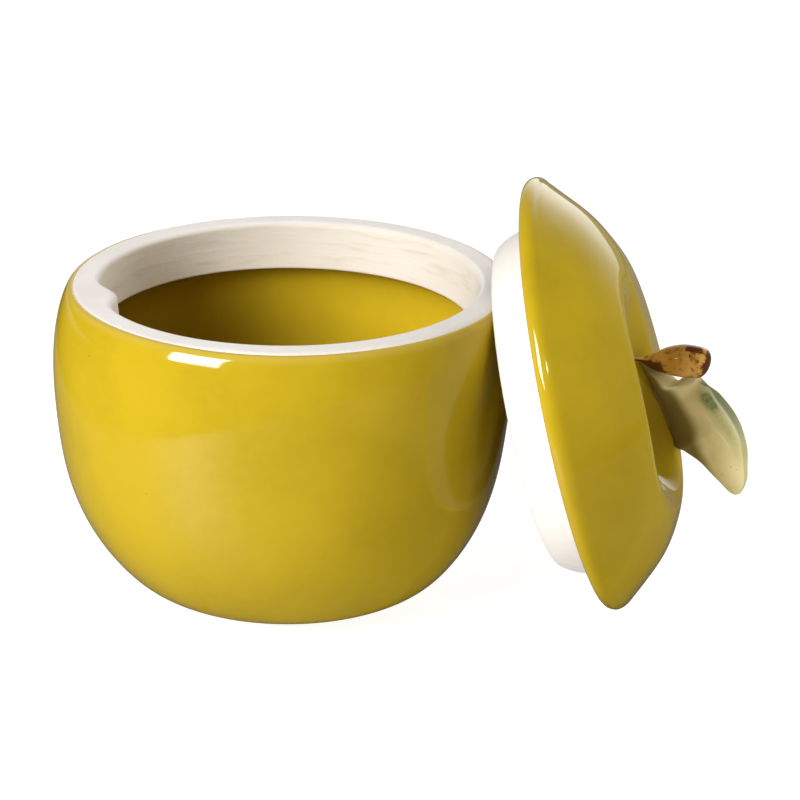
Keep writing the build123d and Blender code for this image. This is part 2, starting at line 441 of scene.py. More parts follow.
# %% Lid outline, in millimetres
lid_radius = 57.8
lip_height = 4.3
lid_wall = 6.0
lip_points = [(54.8, -0.3), (55.8, -0.75), (56.7, -0.5), (57.4, 0.4), (57.75, 1.7), (57.45, 2.9)]
crown_radii = [-16.0, 0.0, 16.0, 26.0, 32.6, 39.6, 46.4, 52.2, 56.8]
crown_heights = [22.9, 22.8, 22.9, 23.0, 21.7, 18.5, 14.0, 8.5, 3.9]
crown_radius = np.array([56.7, 55.6, 54.0, 51.0, 47.0, 43.0, 38.0, 33.0, 28.0, 23.0, 18.0, 12.0, 6.0, 0.3])
crown_height = spline(crown_radii, np.array(crown_heights)[:, None], crown_radius)[:, 0]
crown_points = np.stack([crown_radius, crown_height], axis=1)
skin_steps = 220
skin_line = smooth_line(lip_points + crown_points.tolist(), skin_steps)

# %% Collar and underside, in millimetres
collar_depth = 11.7
collar_root = 46.1
root_round = 0.8
collar_tip = 40.8
collar_points = [
    (collar_root, -root_round),
    (45.9, -3.5),
    (45.0, -7.0),
    (43.5, -9.8),
    (42.2, -11.2),
    (collar_tip, -collar_depth),
]
bore_round = 1.6
bore_start = (39.2, -collar_depth + bore_round)
bore_end = (39.9, 4.0)
bore_steps, hollow_steps = 24, 70
bore_line = even_line([bore_start, bore_end], bore_steps)
first_under = 8
under_points = crown_points[first_under:] - np.array([0, lid_wall])
hollow_points = [bore_end, (38.9, 9.5), (36.6, 13.4), (32.6, 15.4)] + under_points.tolist()
hollow_line = smooth_line(hollow_points, hollow_steps)

# %% Lid shaping
tilt_up, tilt_across = 0.032, -0.028
hollow_depth = 13.9
hollow_power = 1.95
hollow_middle = (-8.6, 9.9)
reach_up, reach_down = 42.6, 24.3
reach_near, reach_far = 26.8, 20.0
tilt_power = 6
top_flat = 0.6
flat_start, flat_full = 38.0, 56.0
collar_drop = 1.4
drop_start, drop_full = 52.0, 47.0
drop_top, drop_bottom = 8.0, 0.0
crease_depth = 0.35
crease_width = 0.8
crease_spread = 0.35


def shape_lid(radius, rise, angle):
    """Points of the lid from a radius, a height over the seat and an angle from the top of its slope.

    The oval hollow takes hollow_depth * (1 - x * x) ** hollow_power off the height, where x is the distance
    from its middle over its reach on that side. The tilt takes a share of the way up the slope and gives a
    share of the way to the front, except at the lip. The crease over the lip is a bell curve of the height
    that fades away from the top. The collar stands collar_drop lower, and the top edge is top_flat lower.
    """
    crease = bell(rise, lip_height, crease_width) * bell(np.sin(angle / 2), 0, crease_spread)
    radius = radius - crease_depth * crease
    up_slope = radius * np.cos(angle)
    toward = radius * np.sin(angle)
    above, beside = up_slope - hollow_middle[0], toward - hollow_middle[1]
    above = above / np.where(above > 0, reach_up, reach_down)
    beside = beside / np.where(beside > 0, reach_near, reach_far)
    hollow = hollow_depth * np.clip(1 - above**2 - beside**2, 0, 1) ** hollow_power
    on_dome = (1 - np.clip(radius / lid_radius, 0, 1) ** tilt_power) * ease(rise / lip_height)
    tilt = tilt_up * up_slope + tilt_across * toward
    drop = collar_drop * ramp(radius, drop_start, drop_full) * ramp(rise, drop_top, drop_bottom)
    drop = drop + top_flat * ramp(up_slope, flat_start, flat_full)
    return from_lid(np.stack([rise - hollow - tilt * on_dome, up_slope - drop, toward], axis=-1))


def lid_grid(line):
    """The whole grid of rings for one of the lid's outlines."""
    radius = np.repeat(line[:, :1], turns, axis=1)
    rise = np.repeat(line[:, 1:], turns, axis=1)
    return shape_lid(radius, rise, around[None, :])


# %% Clay lid
bore_centre = (bore_start[0] + bore_round, bore_start[1])
collar_line = np.vstack(
    [
        even_line([(54.4, -0.3), (53.2, 0), (collar_root + root_round, 0)], 14),
        arc_line((collar_root + root_round, -root_round), root_round, 90, 180, 5)[1:],
        smooth_line(collar_points, 30)[1:],
        arc_line(bore_centre, bore_round, 270, 180, 9)[1:],
        bore_line[1:-1],
    ]
)
clay_skin = skin_line - glaze * outward(skin_line)
lid_clay_line = np.vstack([hollow_line[::-1], collar_line[::-1][1:], clay_skin[1:]])
lid_clay = ring_mesh("clay_lid", lid_grid(lid_clay_line))
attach(lid_clay, "lid")
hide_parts("lid_body")

# %% Coat on the lid, with painted shade in the lower half of the dimple and in a band across the lid
lip_gap, lip_wave = 0.25, 0.12
dimple_shade, band_shade = 0.5, 0.22
dimple_edge, dimple_full = 26.0, 16.0
below_start, below_full = 2.0, -6.0
band_middle, band_spread = -8.0, 24.0
start = lip_gap + lip_wave * wobble(around, 11)[None, :]
skin_stop = lengths_along(clay_skin)[-1] - middle_gap
radius, height, thin = coat_grid(clay_skin, start, skin_stop, glaze, True, False)
up_slope = radius * np.cos(around)[None, :]
# Painted shade in the lower half of the dimple, and a faint painted shade in a band a little below the
# middle.
painted_shading = dimple_shade * ramp(radius, dimple_edge, dimple_full) * ramp(up_slope, below_start, below_full)
painted_shading = painted_shading + band_shade * bell(up_slope, band_middle, band_spread)
lid_coat = ring_mesh(
    "lid_glaze_outside",
    shape_lid(radius, height, around[None, :]),
    loop=True,
    masks={"thin": thin, "painted_shading": painted_shading},
)
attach(lid_coat, "lid")
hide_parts("lid_glaze_outside")

# %% Coat under the lid
under_gap, under_wave = 0.6, 0.3
under_line = np.vstack([bore_line, hollow_line[1:]])
start = under_gap + under_wave * wobble(around, 17)[None, :]
under_stop = lengths_along(under_line)[-1] - middle_gap
radius, height, thin = coat_grid(under_line, start, under_stop, glaze, True, False)
lid_coat_inside = ring_mesh(
    "lid_glaze_inside",
    shape_lid(radius, height, around[None, :]),
    loop=True,
    masks={"thin": thin},
)
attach(lid_coat_inside, "lid")
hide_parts("lid_glaze_inside")

# %% [markdown]
# ## The stem
# The stem is a roll of clay, pinched thin where it meets the dimple and swelling to a blunt end. It is a
# skin swept along a bent line: at each place on the line a circle stands square to it, and slow waves
# keep the circle from being perfect. A mask marks where it is made nearly black: blotches of glaze on the
# end and in a patch on top, and a painted shade on the lower side of the root and on the underside.

# %% Stem path, as out along the axis, up the slope, towards the front, and radius
stem_points = np.array(
    [
        (15.0, 6.5, 0, 1.6),
        (19.7, 5.5, 0, 0.7),
        (21.4, 4.8, 0, 1.45),
        (23.8, 4.1, 0, 2.6),
        (27.5, 3.5, 0, 3.8),
        (30.3, 2.9, 0, 4.3),
        (32.7, 2.2, 0, 4.3),
        (34.9, 1.3, 0, 4.1),
        (36.9, 0.2, 0, 3.8),
    ]
)
stem_rings, stem_steps = 120, 112
stem_path = smooth_line(stem_points, stem_rings)
stem_line, stem_profile = stem_path[:, :3], stem_path[:, 3]
stem_share = np.linspace(0, 1, stem_rings)[:, None]
stem_turns = np.linspace(0, 2 * np.pi, stem_steps, endpoint=False)[None, :]

# %% Stem
stem_end = 2.6
end_power = 2.2
tip_radius = 0.02
lump_depth, fold_depth = 0.03, 0.018
fold_twist = 9
from_end = (1 - stem_share) * lengths_along(stem_line)[-1]
blunt = np.sqrt(np.clip(1 - (1 - np.clip(from_end / stem_end, 0, 1)) ** end_power, 0, 1))
lumps = 1 + lump_depth * wobble(stem_turns, 21) * stem_share**2
lumps = lumps + fold_depth * np.sin(2 * stem_turns + fold_twist * stem_share + 1)
stem_radius = (tip_radius + stem_profile[:, None] * blunt) * lumps
along = np.gradient(stem_line, axis=0)
along /= np.linalg.norm(along, axis=1)[:, None]
side = np.array([0.0, 0.0, 1.0])
other = np.cross(along, side)[:, None, :]
ring = side * np.cos(stem_turns)[..., None] + other * np.sin(stem_turns)[..., None]
stem_grid = from_lid(stem_line[:, None, :] + stem_radius[..., None] * ring)

# %% Dark blotches and painted shade on the stem, by the share of its length and how far a point faces up the slope
facing_up = ring[..., 1]
# Painted shade on the root, on the side that doesn't face up the slope.
root_shade = 1.3 * ramp(stem_share, 0.55, 0.35) * ramp(facing_up, 0.45, -0.05)
end_dark = ramp(stem_share, 0.88, 0.97)
top_dark = bell(stem_share, 0.8, 0.09) * ramp(facing_up, 0.6, 0.9)
# Painted shade on the underside.
under_shade = 0.6 * ramp(stem_share, 0.4, 0.5) * ramp(facing_up, -0.6, -1.0)
blotch_and_shade = np.maximum(np.maximum(root_shade, end_dark), np.maximum(top_dark, under_shade))
stem = ring_mesh("fruit_stem", stem_grid, masks={"blotch_and_shade": np.clip(blotch_and_shade, 0, 1)})
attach(stem, "lid")
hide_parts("stem")

# %% [markdown]
# ## The leaf
# The leaf was cut from a slab, bent over a finger and joined to the dimple beside the stem. Two lines
# give it its shape: the joined edge, which lies on the dome and then springs free, and the outer edge,
# which curls away. A row of closed sections joins them from the foot to the tip. Each section is a flat
# rounded loop, arched towards the front. The two thin veins on its face are too fine for the mesh, so they
# are a mask that the glaze raises and makes paler. More masks give the green margin and patch and the shade.

# %% Leaf outline, as out along the axis, up the slope and towards the front
free_edge = [
    (19.3, 5.5, -0.5),
    (20.4, 4.0, -2.0),
    (21.8, 2.3, -3.5),
    (23.6, 0.6, -4.4),
    (25.2, -0.7, -4.6),
    (26.5, -2.4, -4.8),
    (27.7, -3.8, -4.8),
    (28.8, -3.5, -4.8),
    (30.4, -2.6, -4.8),
    (32.2, -2.8, -4.6),
    (33.7, -4.3, -4.4),
    (34.9, -5.7, -2.8),
    (37.2, -7.6, -1.0),
    (38.6, -9.3, 0.4),
    (40.6, -12.7, 2.4),
    (41.7, -16.2, 3.8),
    (42.1, -19.8, 4.6),
    (41.9, -23.8, 5.0),
    (41.2, -27.1, 5.0),
    (40.4, -30.5, 4.6),
    (39.0, -33.3, 4.0),
    (37.7, -35.0, 3.4),
]
joined_edge = [
    (18.6, 5.2, -0.8),
    (18.7, 4.3, -2.3),
    (19.0, 2.9, -3.3),
    (19.3, 0.8, -4.0),
    (19.7, -1.0, -4.5),
    (20.0, -3.2, -5.1),
    (20.9, -7.9, -6.2),
    (21.5, -11.0, -6.7),
    (22.0, -15.1, -6.3),
    (22.5, -18.5, -5.6),
    (22.7, -20.4, -4.8),
    (23.2, -21.9, -3.6),
    (24.6, -22.5, -3.0),
    (25.7, -23.3, -2.5),
    (28.4, -25.6, -1.0),
    (31.3, -29.7, 0.5),
    (33.4, -32.7, 1.5),
    (34.8, -34.6, 2.2),
    (36.0, -35.6, 2.4),
]
leaf_rings, leaf_steps = 240, 200
free_line = smooth_line(free_edge, leaf_rings)
joined_line = smooth_line(joined_edge, leaf_rings)
leaf_share = np.linspace(0, 1, leaf_rings)[:, None]

# %% Leaf sections
leaf_thickness, tip_thickness = 2.6, 0.4
leaf_arch = 2.4
loop_power, fullness_power = 0.8, 0.6
section = np.linspace(0, 2 * np.pi, leaf_steps, endpoint=False)[None, :]
across_share = np.sign(np.cos(section)) * np.abs(np.cos(section)) ** loop_power
face_share = np.sign(np.sin(section)) * np.abs(np.sin(section)) ** loop_power
middle = (free_line + joined_line)[:, None, :] / 2
half = (free_line - joined_line)[:, None, :] / 2
full = np.sin(np.pi * leaf_share) ** fullness_power
front = np.array([0.0, 0.0, 1.0])
bend = leaf_arch * full * (1 - across_share**2)
thick = (tip_thickness + (leaf_thickness - tip_thickness) * full) / 2 * face_share
leaf_points = middle + across_share[..., None] * half + (bend + thick)[..., None] * front

# %% Veins, painted highlight, margin: by the share of the length and of the way across, -1 at the joined edge to 1
on_face = ramp(face_share, -0.125, 0.125)
edge_line = 0.8 + 0.12 * bell(leaf_share, 0.42, 0.04) - 0.2 * ramp(leaf_share, 0.37, 0.32)
edge_vein = bell(across_share, edge_line, 0.035)
edge_vein = edge_vein * ramp(leaf_share, 0.33, 0.37) * ramp(leaf_share, 0.78, 0.68)
vein_line = 0.34 + 0.03 * np.sin(20 * leaf_share)
face_vein = 0.8 * bell(across_share, vein_line, 0.03)
face_vein = face_vein * ramp(leaf_share, 0.48, 0.53) * ramp(leaf_share, 0.74, 0.66)
# A painted highlight along the joined edge, on the crest beside the leaf, in the same pale as the veins.
joint_highlight = 0.6 * ramp(across_share, -0.93, -0.97) * ramp(leaf_share, 0.5, 0.45)
veins_and_highlight = np.maximum(np.maximum(edge_vein, face_vein) * on_face, joint_highlight)
margin = ramp(across_share, edge_line - 0.06, edge_line) * ramp(leaf_share, 0.34, 0.4)
margin = margin * (0.35 + 0.65 * ramp(leaf_share, 0.85, 0.55))

# %% Green patch with its trail, and the shaded half beside the lid
patch = 1.5 * bell(leaf_share, 0.465, 0.055) * bell(across_share, 0.68, 0.2)
trail = 0.55 * bell(leaf_share, 0.62, 0.14) * bell(across_share, 0.6, 0.2)
root_green = 0.35 * bell(leaf_share, 0.3, 0.05) * bell(across_share, -0.16, 0.2)
green = np.clip((patch + trail + root_green) * on_face * (1 - margin), 0, 1)
shade_edge = -0.1 - 0.65 * ramp(leaf_share, 0.5, 0.8)
shade = ramp(across_share, shade_edge + 0.18, shade_edge - 0.27) * ramp(leaf_share, 0.95, 0.7)
shade = np.maximum(shade, ramp(leaf_share, 0.22, 0.1))
leaf_masks = {"vein_and_highlight": veins_and_highlight, "margin": margin, "green": green, "shade": shade}
leaf = ring_mesh("leaf_blade", from_lid(leaf_points), masks=leaf_masks)
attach(leaf, "lid")
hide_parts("leaf")

# %% [markdown]
# ## Finishes
# Every finish is a Principled shader with its colours worked out by nodes. Two effects are wanted in more
# than one finish: the cloudiness of a glaze, and the pinholes and specks that firing leaves in it. Each is
# a node group with named inputs and outputs. The slight unevenness of the yellow glaze is a third group.


# %% Node helpers
def add_node(tree, kind, **settings):
    """A node of the given kind, with its settings as attributes, or as input values where they are inputs."""
    node = tree.nodes.new(kind)
    for name, value in settings.items():
        if hasattr(node, name):
            setattr(node, name, value)
        else:
            node.inputs[name.replace("_", " ")].default_value = value
    return node


def math_node(tree, operation, first, second=None, third=None, clamp=False):
    """The output of a Math node, whose inputs are numbers or the outputs of other nodes."""
    node = add_node(tree, "ShaderNodeMath", operation=operation, use_clamp=clamp)
    for socket, value in zip(node.inputs, (first, second, third)):
        feed(tree, socket, value)
    return node.outputs[0]


def feed(tree, socket, value):
    """Put a number on a socket, or wire an output to it."""
    if isinstance(value, bpy.types.NodeSocket):
        tree.links.new(value, socket)
    elif value is not None:
        socket.default_value = value


def band(tree, value, low, high):
    """A mask that goes smoothly from 0 at low to 1 at high."""
    node = add_node(tree, "ShaderNodeMapRange", interpolation_type="SMOOTHSTEP")
    feed(tree, node.inputs["Value"], value)
    feed(tree, node.inputs["From Min"], low)
    feed(tree, node.inputs["From Max"], high)
    return node.outputs["Result"]


def blend_colour(tree, share, first, second):
    """The colour between two, by a share from 0 to 1. Sockets 6, 7 and 2 of a Mix node are its colours."""
    node = add_node(tree, "ShaderNodeMix", data_type="RGBA")
    feed(tree, node.inputs["Factor"], share)
    feed(tree, node.inputs[6], first)
    feed(tree, node.inputs[7], second)
    return node.outputs[2]


def tint(tree, base, mask, strength, colour):
    """The base colour turned towards another, by a mask times a strength, held between 0 and 1."""
    return blend_colour(tree, math_node(tree, "MULTIPLY", mask, strength, clamp=True), base, colour)


def surface_mask(tree, name):
    """A mask that was stored on the mesh."""
    return add_node(tree, "ShaderNodeAttribute", attribute_name=name).outputs["Fac"]


def object_place(tree):
    """The place on the piece, in metres, in its own coordinates."""
    return add_node(tree, "ShaderNodeTexCoord").outputs["Object"]


def noise_at(tree, place, **settings):
    """The value of a noise texture at a place."""
    node = add_node(tree, "ShaderNodeTexNoise", **settings)
    feed(tree, node.inputs["Vector"], place)
    return node.outputs["Fac"]


def add_bump(tree, shader, height, strength, distance):
    """Wire a height, through a Bump node, to a shader's Normal."""
    bump = add_node(tree, "ShaderNodeBump", Strength=strength, Distance=distance)
    feed(tree, bump.inputs["Height"], height)
    feed(tree, shader.inputs["Normal"], bump.outputs["Normal"])


def new_group(name, inputs, outputs):
    """A shader node group with number sockets, and its input and output nodes."""
    tree = bpy.data.node_groups.new(name, "ShaderNodeTree")
    for socket, value in inputs.items():
        kind = "NodeSocketVector" if value is None else "NodeSocketFloat"
        made = tree.interface.new_socket(socket, in_out="INPUT", socket_type=kind)
        if value is not None:
            made.default_value = value
    for socket in outputs:
        tree.interface.new_socket(socket, in_out="OUTPUT", socket_type="NodeSocketFloat")
    return tree, tree.nodes.new("NodeGroupInput"), tree.nodes.new("NodeGroupOutput")


def use_group(tree, group, **values):
    """A node that uses a group, with its inputs fed."""
    node = add_node(tree, "ShaderNodeGroup", node_tree=group)
    for name, value in values.items():
        feed(tree, node.inputs[name.replace("_", " ")], value)
    return node


def new_finish(name, roughness, **settings):
    """A material with a Principled shader, and the shader's node."""
    finish = bpy.data.materials.new(name)
    finish.use_nodes = True
    shader = finish.node_tree.nodes["Principled BSDF"]
    shader.inputs["Roughness"].default_value = roughness
    for socket, value in settings.items():
        shader.inputs[socket.replace("_", " ")].default_value = value
    return finish, finish.node_tree, shader


# %% Cloudiness of a glaze
MM_PER_M = 1000.0
fine_ratio = 9.0
clouds, given, made = new_group("glaze clouds", {"Place": None, "Size": 30.0}, ["Cloud", "Fine"])
scale = math_node(clouds, "DIVIDE", MM_PER_M, given.outputs["Size"])
broad = add_node(clouds, "ShaderNodeTexNoise", Detail=3.0, Roughness=0.5)
feed(clouds, broad.inputs["Vector"], given.outputs["Place"])
feed(clouds, broad.inputs["Scale"], scale)
feed(clouds, made.inputs["Cloud"], band(clouds, broad.outputs["Fac"], 0.3, 0.7))
fine = add_node(clouds, "ShaderNodeTexNoise", Detail=6.0, Roughness=0.6)
feed(clouds, fine.inputs["Vector"], given.outputs["Place"])
feed(clouds, fine.inputs["Scale"], math_node(clouds, "MULTIPLY", scale, fine_ratio))
feed(clouds, made.inputs["Fine"], band(clouds, fine.outputs["Fac"], 0.25, 0.75))
print("clouds:", len(clouds.nodes), "nodes")

# %% Specks and pinholes
speck_inputs = {"Place": None, "Spacing": 6.0, "Size": 0.25, "Share": 0.15}
specks, given, made = new_group("firing specks", speck_inputs, ["Speck"])
cells = add_node(specks, "ShaderNodeTexVoronoi", feature="F1")
feed(specks, cells.inputs["Vector"], given.outputs["Place"])
feed(specks, cells.inputs["Scale"], math_node(specks, "DIVIDE", MM_PER_M, given.outputs["Spacing"]))
away = math_node(specks, "MULTIPLY", cells.outputs["Distance"], given.outputs["Spacing"])
chance = add_node(specks, "ShaderNodeSeparateColor")
feed(specks, chance.inputs["Color"], cells.outputs["Color"])
chosen = math_node(specks, "LESS_THAN", chance.outputs["Red"], given.outputs["Share"])
size_share = math_node(specks, "ADD", chance.outputs["Green"], 0.5)
wide = math_node(specks, "MULTIPLY", given.outputs["Size"], size_share)
half_wide = math_node(specks, "MULTIPLY", wide, 0.5)
near = math_node(specks, "SUBTRACT", 1.0, band(specks, away, half_wide, wide))
feed(specks, made.inputs["Speck"], math_node(specks, "MULTIPLY", near, chosen))
print("specks:", len(specks.nodes), "nodes")

# %% Unevenness
ripple, given, made = new_group("surface ripple", {"Place": None, "Size": 12.0, "Depth": 1.0}, ["Height"])
wave = add_node(ripple, "ShaderNodeTexNoise", Detail=1.0, Roughness=0.4)
feed(ripple, wave.inputs["Vector"], given.outputs["Place"])
feed(ripple, wave.inputs["Scale"], math_node(ripple, "DIVIDE", MM_PER_M, given.outputs["Size"]))
swell = math_node(ripple, "MULTIPLY", wave.outputs["Fac"], given.outputs["Depth"])
feed(ripple, made.inputs["Height"], swell)
print("ripple:", len(ripple.nodes), "nodes")

# %% [markdown]
# ### The yellow glaze
# It is a deep olive yellow that goes paler where it is thin, at the wiped edges, and a little browner in
# slow clouds. It is glass, so the shader has a low roughness and nothing metallic, and the highlights
# come from the lights. A very small bump keeps the reflections from being perfect. A mask of painted
# shading gives a painted shade, brown, where it is above 0, and a painted light, a lighter yellow, where it
# is below. It stands for light and shade of the room that these lamps don't give.

# %% Yellow glaze
glaze_low, glaze_high = (0.435, 0.3, 0.01, 1), (0.495, 0.342, 0.012, 1)
glaze_mottle, painted_shade_brown = (0.515, 0.356, 0.015, 1), (0.2, 0.1, 0.006, 1)
painted_light_yellow, glaze_edge = (0.72, 0.49, 0.02, 1), (0.62, 0.45, 0.1, 1)
pinhole_brown = (0.2, 0.1, 0.02, 1)
pinhole_depth = 0.05
yellow_glaze, tree, shader = new_finish("yellow_glaze", 0.07)
place = object_place(tree)
cloudy = use_group(tree, clouds, Place=place, Size=26.0)
pins = use_group(tree, specks, Place=place, Spacing=7.0, Size=0.22, Share=0.2).outputs["Speck"]
painted_shading_mask = surface_mask(tree, "painted_shading")
base = blend_colour(tree, cloudy.outputs["Cloud"], glaze_low, glaze_high)
base = tint(tree, base, cloudy.outputs["Fine"], 0.35, glaze_mottle)
# Painted shade, brown, and painted light, a lighter yellow, by the mask of painted shading.
base = tint(tree, base, painted_shading_mask, 0.85, painted_shade_brown)
base = tint(tree, base, painted_shading_mask, -1.4, painted_light_yellow)
base = tint(tree, base, surface_mask(tree, "thin"), 0.5, glaze_edge)
base = tint(tree, base, pins, 0.8, pinhole_brown)
feed(tree, shader.inputs["Base Color"], base)
uneven = use_group(tree, ripple, Place=place, Size=14.0, Depth=1.0).outputs["Height"]
pinholes = math_node(tree, "MULTIPLY", pins, pinhole_depth)
add_bump(tree, shader, math_node(tree, "SUBTRACT", uneven, pinholes), 1.0, 0.00012)
for piece in (coat_outside, coat_inside, lid_coat, lid_coat_inside):
    piece.data.materials.append(yellow_glaze)

# %% [markdown]
# ### The bare clay
# The bare clay is a warm off-white stoneware, matt, with a fine grain. In the gallery it is a little darker
# and warmer, partly its own tone and partly a painted shade in the recess, with the faint level lines that
# fingers leave on the wheel: a noise squeezed in height does that. Beside the glaze it has a slight blush.
# Where the glaze mirrors the clay, it is made darker.

# %% Bare clay
clay_low, clay_high = (0.80, 0.755, 0.70, 1), (0.86, 0.82, 0.77, 1)
clay_mottle, grit_brown = (0.74, 0.68, 0.62, 1), (0.35, 0.28, 0.2, 1)
gallery_tone_and_shade, line_brown = (0.74, 0.67, 0.56, 1), (0.55, 0.46, 0.34, 1)
blush_brown, no_light = (0.76, 0.64, 0.5, 1), (0.0, 0.0, 0.0, 1)
line_stretch = (0.12, 0.12, 1.0)
line_depth = 3.0
bare_clay, tree, shader = new_finish("bare_clay", 0.62)
place = object_place(tree)
cloudy = use_group(tree, clouds, Place=place, Size=16.0)
grit = use_group(tree, specks, Place=place, Spacing=3.2, Size=0.12, Share=0.12).outputs["Speck"]
stretched = add_node(tree, "ShaderNodeVectorMath", operation="MULTIPLY")
feed(tree, stretched.inputs[0], place)
feed(tree, stretched.inputs[1], line_stretch)
lines = noise_at(tree, stretched.outputs["Vector"], Scale=420.0, Detail=4.0, Roughness=0.55)
gallery_mask = surface_mask(tree, "gallery")
worn = math_node(tree, "MULTIPLY", band(tree, lines, 0.5, 0.72), gallery_mask)
blush = math_node(tree, "MULTIPLY", surface_mask(tree, "margin"), cloudy.outputs["Fine"])
mirrored = add_node(tree, "ShaderNodeLightPath").outputs["Is Glossy Ray"]
base = blend_colour(tree, cloudy.outputs["Cloud"], clay_low, clay_high)
base = tint(tree, base, cloudy.outputs["Fine"], 0.25, clay_mottle)
base = tint(tree, base, grit, 0.5, grit_brown)
# The gallery's darker, warmer tone: partly the clay's own, partly a painted shade in the recess.
base = tint(tree, base, gallery_mask, 0.85, gallery_tone_and_shade)
base = tint(tree, base, worn, 0.45, line_brown)
base = tint(tree, base, blush, 0.3, blush_brown)
base = tint(tree, base, mirrored, 0.7, no_light)
feed(tree, shader.inputs["Base Color"], base)
grain = noise_at(tree, place, Scale=2600.0, Detail=4.0, Roughness=0.6)
furrows = math_node(tree, "MULTIPLY", math_node(tree, "MULTIPLY", lines, gallery_mask), line_depth)
add_bump(tree, shader, math_node(tree, "ADD", furrows, grain), 0.6, 0.0001)
for piece in (pot, lid_clay):
    piece.data.materials.append(bare_clay)

# %% [markdown]
# ### The stem's brown glaze
# A brown wash lies in ragged, nearly black blotches over an orange-brown glaze. The mask of blotches and
# painted shade is added to a noise, and what comes out above a level is dark, so both keep a torn edge.

# %% Stem glaze
stem_low, stem_high = (0.5, 0.24, 0.04, 1), (0.72, 0.4, 0.09, 1)
stem_black = (0.1, 0.028, 0.008, 1)
stem_glaze, tree, shader = new_finish("stem_glaze", 0.12)
place = object_place(tree)
cloudy = use_group(tree, clouds, Place=place, Size=7.0)
mottle = noise_at(tree, place, Scale=520.0, Detail=5.0, Roughness=0.65, Distortion=0.6)
# Blotches and painted shade, made nearly black.
blotch_and_shade_level = math_node(tree, "MULTIPLY_ADD", surface_mask(tree, "blotch_and_shade"), 0.34, mottle)
base = blend_colour(tree, cloudy.outputs["Cloud"], stem_low, stem_high)
base = blend_colour(tree, band(tree, blotch_and_shade_level, 0.5, 0.72), base, stem_black)
feed(tree, shader.inputs["Base Color"], base)
stem.data.materials.append(stem_glaze)

# %% [markdown]
# ### The leaf's glaze
# The leaf is khaki with a green margin, a green patch, pale veins and fine dark dots. It is less shiny than
# the rest, because sharp highlights don't show on it in the photograph. The half beside the lid has a painted
# shade.

# %% Leaf glaze
leaf_low, leaf_high = (0.76, 0.65, 0.28, 1), (0.88, 0.75, 0.38, 1)
leaf_shade, patch_green = (0.15, 0.112, 0.014, 1), (0.12, 0.17, 0.03, 1)
margin_green, vein_and_highlight_pale = (0.17, 0.21, 0.1, 1), (0.8, 0.79, 0.6, 1)
dot_brown = (0.2, 0.14, 0.04, 1)
leaf_glaze, tree, shader = new_finish("leaf_glaze", 0.42, Specular_IOR_Level=0.3)
place = object_place(tree)
cloudy = use_group(tree, clouds, Place=place, Size=9.0)
dots = use_group(tree, specks, Place=place, Spacing=1.6, Size=0.16, Share=0.3).outputs["Speck"]
patchy = math_node(tree, "MULTIPLY_ADD", cloudy.outputs["Fine"], 0.3, 0.7)
vein_and_highlight_mask = surface_mask(tree, "vein_and_highlight")
base = blend_colour(tree, cloudy.outputs["Cloud"], leaf_low, leaf_high)
base = tint(tree, base, surface_mask(tree, "shade"), 0.88, leaf_shade)
base = tint(tree, base, surface_mask(tree, "green"), patchy, patch_green)
base = tint(tree, base, surface_mask(tree, "margin"), 0.88, margin_green)
# Pale veins, and the painted highlight along the joined edge.
base = tint(tree, base, vein_and_highlight_mask, 0.7, vein_and_highlight_pale)
base = tint(tree, base, dots, 0.6, dot_brown)
feed(tree, shader.inputs["Base Color"], base)
add_bump(tree, shader, vein_and_highlight_mask, 0.4, 0.00015)
leaf.data.materials.append(leaf_glaze)

# %% [markdown]
# ## Studio
# One large soft light stands on the left of the camera, a little above the pot, and a narrow spot light
# without highlights lifts the leaf. The world fills with soft patches of light from the sides. The camera
# sees a white world and a white table. Mirrored rays see something else, worked out from the reflections in
# the photograph: a soft light far round to the back, and a darker table that ends in an oval edge, with a
# painted shadow of jar and lid as a dark strip between them, and a paler field behind.

# %% World
world = bpy.data.worlds.new("studio")
bpy.context.scene.world = world
bpy.context.scene.view_settings.view_transform = "Standard"
world.use_nodes = True
tree = world.node_tree
tree.nodes.clear()
looking = add_node(tree, "ShaderNodeTexCoord").outputs["Generated"]
ray = add_node(tree, "ShaderNodeLightPath")


def direction(azimuth, rise):
    """The unit vector at an azimuth, in degrees round from the camera's side to the right, and a rise."""
    turn, tip = math.radians(azimuth), math.radians(rise)
    return Vector((math.sin(turn) * math.cos(tip), -math.cos(turn) * math.cos(tip), math.sin(tip)))


def glow(strength, azimuth, rise, tightness):
    """A soft white patch of the world: strength * exp(tightness * (cos(angle from its middle) - 1))."""
    near = add_node(tree, "ShaderNodeVectorMath", operation="DOT_PRODUCT")
    feed(tree, near.inputs[0], looking)
    feed(tree, near.inputs[1], direction(azimuth, rise))
    fall = math_node(tree, "MULTIPLY_ADD", near.outputs["Value"], tightness, -tightness)
    return math_node(tree, "MULTIPLY", math_node(tree, "EXPONENT", fall), strength)


def total(parts):
    """The sum of several outputs."""
    first, *rest = parts
    for part in rest:
        first = math_node(tree, "ADD", first, part)
    return first


fill_lights = [(3.3, 135, 16, 6), (1.4, 95, 6, 8), (0.4, -10, 35, 6)]
mirror_lights = [(1.9, 167, 8, 11), (0.12, 92, 10, 9)]
fill = total([glow(*light) for light in fill_lights])
mirror = total([glow(*light) for light in mirror_lights])
in_mirror = ray.outputs["Is Glossy Ray"]
strength = math_node(tree, "MULTIPLY", fill, math_node(tree, "SUBTRACT", 1.0, in_mirror))
strength = math_node(tree, "MULTIPLY_ADD", mirror, in_mirror, strength)
seen = math_node(tree, "MAXIMUM", ray.outputs["Is Camera Ray"], ray.outputs["Is Transmission Ray"])
strength = math_node(tree, "MAXIMUM", strength, seen)
background = add_node(tree, "ShaderNodeBackground", Color=(1, 1, 1, 1))
feed(tree, background.inputs["Strength"], strength)
tree.links.new(background.outputs[0], add_node(tree, "ShaderNodeOutputWorld").inputs["Surface"])

